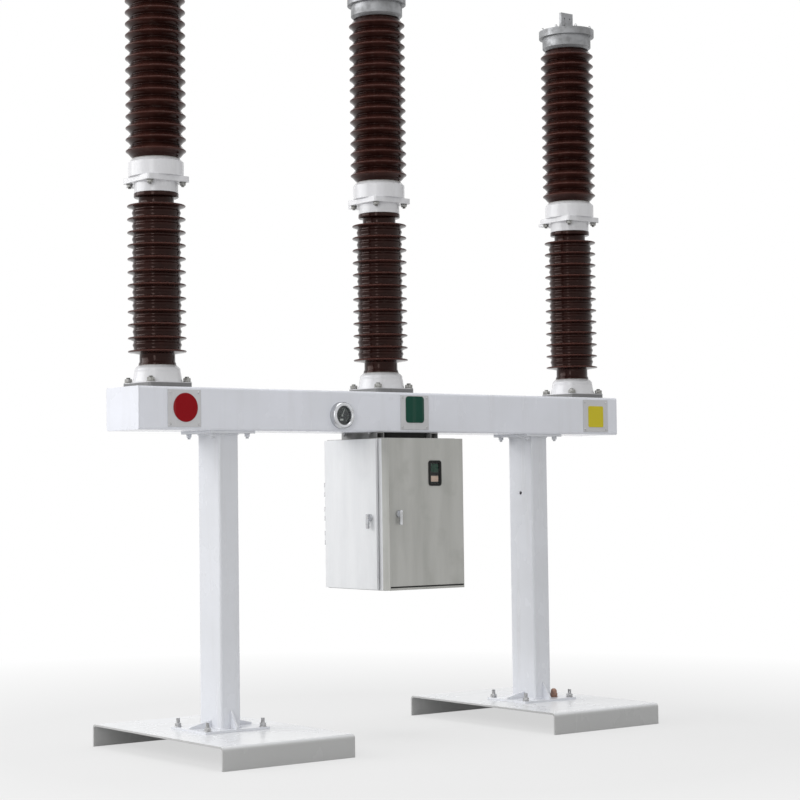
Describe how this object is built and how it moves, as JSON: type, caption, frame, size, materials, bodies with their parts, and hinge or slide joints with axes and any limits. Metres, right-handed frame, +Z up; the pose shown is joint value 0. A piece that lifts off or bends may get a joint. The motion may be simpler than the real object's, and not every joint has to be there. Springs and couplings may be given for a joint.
{
  "type": "outdoor gas circuit breaker",
  "caption": "Outdoor three-pole gas circuit breaker: brown porcelain poles on a grey steel beam with two legs and a hinged mechanism cabinet.",
  "frame": {"origin": "on the ground, midway between the two legs, under the middle pole", "axes": "+X along the beam to the right of the cabinet's front, +Y away from the cabinet's front, +Z up"},
  "size_m": [3.89, 1.434, 4.8881],
  "materials": {
    "grey_paint": "satin",
    "plate_paint": "satin",
    "white_paint": "satin",
    "cabinet_steel": "satin",
    "bright_steel": "satin",
    "cast_aluminium": "satin",
    "brown_glaze": "gloss",
    "clear_glass": "gloss",
    "black_rubber": "matte",
    "state_paint": "satin"
  },
  "bodies": {
    "frame": {"beam": "grey_paint", "beam_end_left": "grey_paint", "beam_end_right": "grey_paint", "foot_left": "grey_paint", "foot_right": "grey_paint", "leg_base_left": "grey_paint", "leg_base_right": "grey_paint", "leg_left": "grey_paint", "leg_right": "grey_paint", "leg_head_left": "grey_paint", "leg_head_right": "grey_paint", "cabinet_hangers": "grey_paint", "phase_plate_left": "plate_paint", "phase_plate_middle": "plate_paint", "phase_plate_right": "plate_paint", "gauge_housing": "bright_steel", "gauge_glass": "clear_glass", "cabinet_shell": "cabinet_steel", "front_frame": "cabinet_steel", "side_frame": "cabinet_steel", "front_hinges": "bright_steel", "side_hinges": "bright_steel", "pole_base_left": "white_paint", "lower_insulator_left": "brown_glaze", "mid_flange_left": "white_paint", "chamber_seat_left": "white_paint", "upper_insulator_left": "brown_glaze", "top_flange_left": "cast_aluminium", "top_cap_left": "cast_aluminium", "pole_base_middle": "white_paint", "lower_insulator_middle": "brown_glaze", "mid_flange_middle": "white_paint", "chamber_seat_middle": "white_paint", "upper_insulator_middle": "brown_glaze", "top_flange_middle": "cast_aluminium", "top_cap_middle": "cast_aluminium", "pole_base_right": "white_paint", "lower_insulator_right": "brown_glaze", "mid_flange_right": "white_paint", "chamber_seat_right": "white_paint", "upper_insulator_right": "brown_glaze", "top_flange_right": "cast_aluminium", "top_cap_right": "cast_aluminium"},
    "front_door": {"front_door": "cabinet_steel", "window_frame": "black_rubber", "window_pane": "clear_glass", "state_plate": "state_paint"},
    "side_door": {"side_door": "cabinet_steel"},
    "front_handle": {"front_handle": "bright_steel"},
    "side_handle": {"side_handle": "bright_steel"}
  },
  "joints": [
    {"name": "front_door_hinge", "type": "hinge", "parent": "frame", "child": "front_door", "pos_m": [0.37, -0.305, 1.413], "axis": [0, 0, 1], "range_deg": [0, 110]},
    {"name": "side_door_hinge", "type": "hinge", "parent": "frame", "child": "side_door", "pos_m": [-0.232, 0.297, 1.413], "axis": [0, 0, -1], "range_deg": [0, 110]},
    {"name": "front_handle_turn", "type": "hinge", "parent": "front_door", "child": "front_handle", "pos_m": [-0.176, -0.375, 1.416], "axis": [0, -1, 0], "range_deg": [0, 90]},
    {"name": "side_handle_turn", "type": "hinge", "parent": "side_door", "child": "side_handle", "pos_m": [-0.248, -0.186, 1.391], "axis": [-1, 0, 0], "range_deg": [0, 90]}
  ]
}
